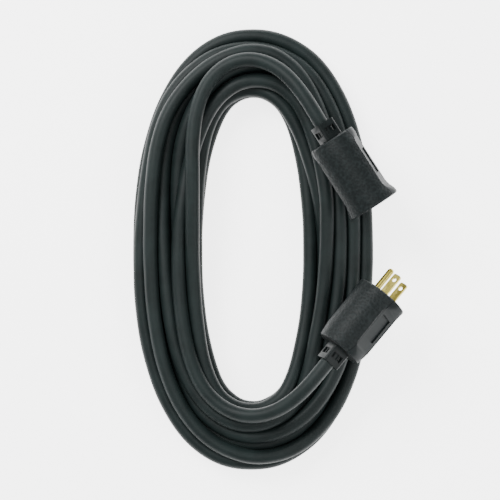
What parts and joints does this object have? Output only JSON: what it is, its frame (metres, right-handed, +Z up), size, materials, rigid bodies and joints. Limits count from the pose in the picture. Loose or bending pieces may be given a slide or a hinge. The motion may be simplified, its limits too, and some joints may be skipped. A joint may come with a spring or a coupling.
{
  "type": "extension cord",
  "caption": "Heavy-duty three-wire extension cord wound into a flat oval coil, with a moulded plug and a moulded connector resting on top of it.",
  "frame": {"origin": "centre of the footprint of the whole cord, on the surface that the coil lies on", "axes": "+Z up out of that surface, +Y along the long axis of the coil towards the end with the connector, +X towards the side that both ends lie on"},
  "size_m": [0.1966, 0.3146, 0.0687],
  "materials": {
    "cord_jacket": "very dark green-grey PVC jacket with a satin sheen",
    "body_moulding": "charcoal PVC moulding with a fine leather grain",
    "grip_panel": "smooth dark grey satin moulding",
    "strain_relief": "smooth near-black moulding, slightly glossy",
    "nylon_insert": "hard black nylon",
    "brass": "bright drawn brass",
    "copper_strand": "bare stranded copper",
    "wire_black": "black insulation",
    "wire_white": "white insulation",
    "wire_green": "green insulation"
  },
  "bodies": {
    "coil": {"cord_coil": "cord_jacket", "plug_lead": "cord_jacket", "connector_lead": "cord_jacket"},
    "plug": {"plug_overmould": "body_moulding", "plug_ground_side_panel": "grip_panel", "plug_blade_side_panel": "grip_panel", "plug_strain_relief": "strain_relief", "plug_jacket_end": "cord_jacket", "plug_line_wire": "wire_black", "plug_neutral_wire": "wire_white", "plug_ground_wire": "wire_green", "plug_line_copper": "copper_strand", "plug_neutral_copper": "copper_strand", "plug_ground_copper": "copper_strand", "plug_blade_bridge": "nylon_insert", "plug_line_blade": "brass", "plug_neutral_blade": "brass", "plug_ground_pin": "brass"},
    "connector": {"connector_overmould": "body_moulding", "connector_ground_side_panel": "grip_panel", "connector_blade_side_panel": "grip_panel", "connector_strain_relief": "strain_relief", "connector_jacket_end": "cord_jacket", "connector_line_wire": "wire_black", "connector_neutral_wire": "wire_white", "connector_ground_wire": "wire_green", "connector_line_copper": "copper_strand", "connector_neutral_copper": "copper_strand", "connector_ground_copper": "copper_strand", "connector_contact_carrier": "nylon_insert", "connector_carrier_cap": "nylon_insert", "connector_line_contact": "brass", "connector_neutral_contact": "brass", "connector_ground_contact": "brass"}
  },
  "joints": [
    {"name": "plug_lift", "type": "hinge", "parent": "coil", "child": "plug", "pos_m": [0.0249, -0.0992, 0.0548], "axis": [0.7672, -0.6414, 0], "range_deg": [0, 45], "stiffness_Nm_per_rad": 0.1, "deforming": ["plug_lead"]},
    {"name": "connector_lift", "type": "hinge", "parent": "coil", "child": "connector", "pos_m": [0.0235, 0.1082, 0.0492], "axis": [-0.8406, -0.5417, 0], "range_deg": [0, 45], "stiffness_Nm_per_rad": 0.1, "deforming": ["connector_lead"]}
  ]
}
